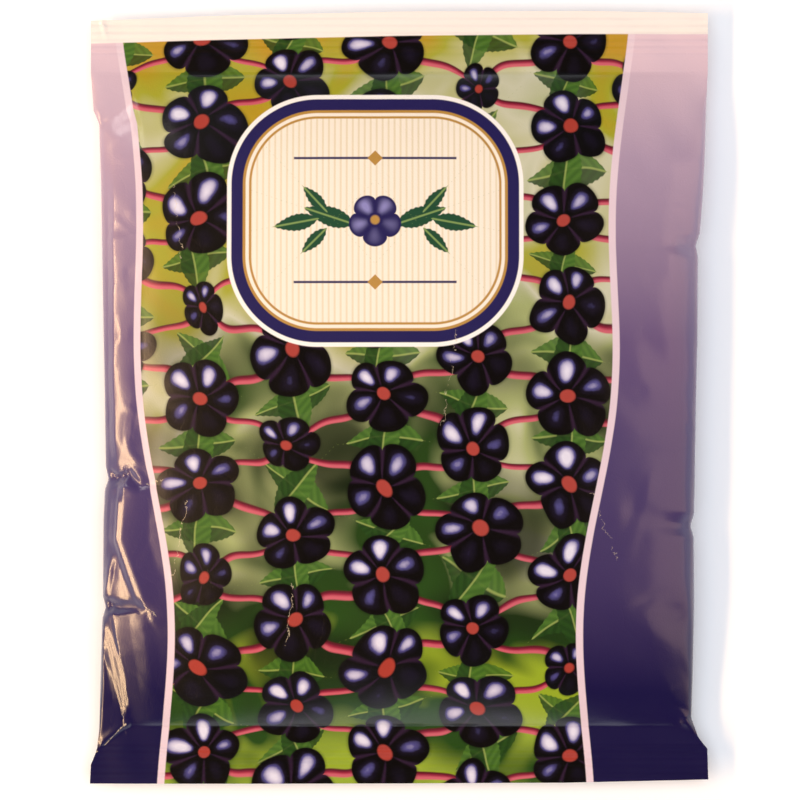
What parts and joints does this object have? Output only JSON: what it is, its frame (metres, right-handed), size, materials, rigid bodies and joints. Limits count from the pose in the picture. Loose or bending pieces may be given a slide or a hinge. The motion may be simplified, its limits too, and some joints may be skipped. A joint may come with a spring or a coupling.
{
  "type": "dried fruit packet",
  "caption": "Sealed film packet of dried elderberries, filled flat between ribbed end welds, with a lap seam down its back, lying on its back.",
  "frame": {"origin": "on the surface that the packet lies on, under the middle of its outline", "axes": "+X across the packet to the right seen from the front, +Y towards its top edge, +Z out of its printed front"},
  "size_m": [0.1304, 0.163, 0.0148],
  "materials": {
    "printed_film": "glossy printed film, lilac at the top to deep violet at the bottom, with creases at the side folds",
    "dried_fruit": "wrinkled, dull black-violet berry skin"
  },
  "bodies": {
    "root": {"film_packet": "printed_film", "dried_elderberries": "dried_fruit"}
  },
  "joints": []
}
